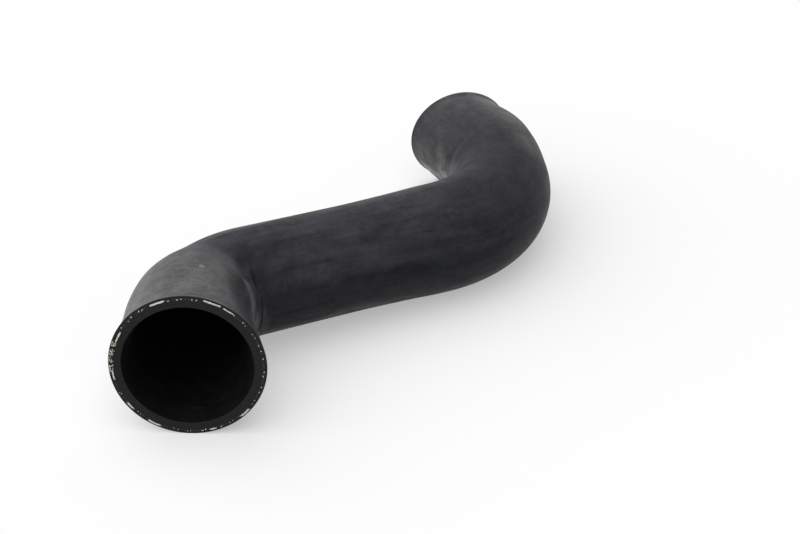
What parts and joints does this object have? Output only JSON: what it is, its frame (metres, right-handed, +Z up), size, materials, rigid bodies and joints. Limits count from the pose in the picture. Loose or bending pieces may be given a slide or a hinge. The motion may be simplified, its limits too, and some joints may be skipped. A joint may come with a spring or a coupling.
{
  "type": "charge air hose",
  "caption": "Moulded rubber charge air hose that takes boost air round opposite bends, from a wide end to a narrower one.",
  "frame": {"origin": "middle of the hose's footprint on the floor it lies on", "axes": "+Z up; the wide end's leg runs along +Y from its open end, which faces -Y; the middle runs towards +X and +Y; the narrow end opens towards +Y and -X"},
  "size_m": [0.2254, 0.2802, 0.0772],
  "materials": {
    "rubber": "satin black rubber with a greyish bloom"
  },
  "bodies": {
    "root": {"hose": "rubber"}
  },
  "joints": []
}
